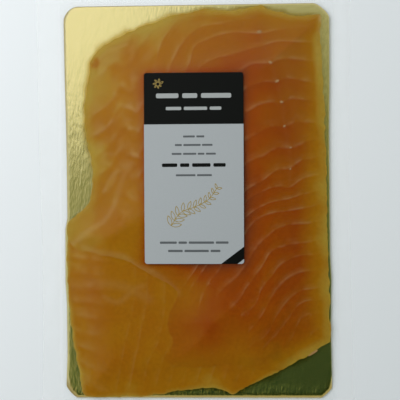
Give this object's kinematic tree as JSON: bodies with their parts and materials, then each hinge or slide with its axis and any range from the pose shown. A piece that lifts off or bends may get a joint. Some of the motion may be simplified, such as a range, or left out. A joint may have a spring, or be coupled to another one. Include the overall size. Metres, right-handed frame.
{
  "type": "vacuum pack of smoked salmon slices",
  "caption": "Flat vacuum pouch of clear film over smoked salmon slices on a gold-faced card board, with a plain paper label on the front.",
  "frame": {"origin": "on the underside, at the middle of the pouch's box", "axes": "+Z out of the pack's face, +Y along its length to the mouth end, +X to the right of the face"},
  "size_m": [0.1964, 0.298, 0.0087],
  "materials": {
    "film": "clear, glossy pouch film, drawn tight over the contents",
    "gold_card": "card faced with satin gold foil laminate, white core and back",
    "salmon_thin": "moist yellow-orange fish flesh with pale fat lines",
    "salmon_deep": "moist deep orange fish flesh with pale fat lines",
    "label_paper": "coated white paper with black fields and plain grey bars for print"
  },
  "bodies": {
    "root": {"pouch_back": "film", "pouch_front": "film", "board": "gold_card", "slice_lower": "salmon_thin", "slice_upper": "salmon_deep", "label": "label_paper"}
  },
  "joints": []
}
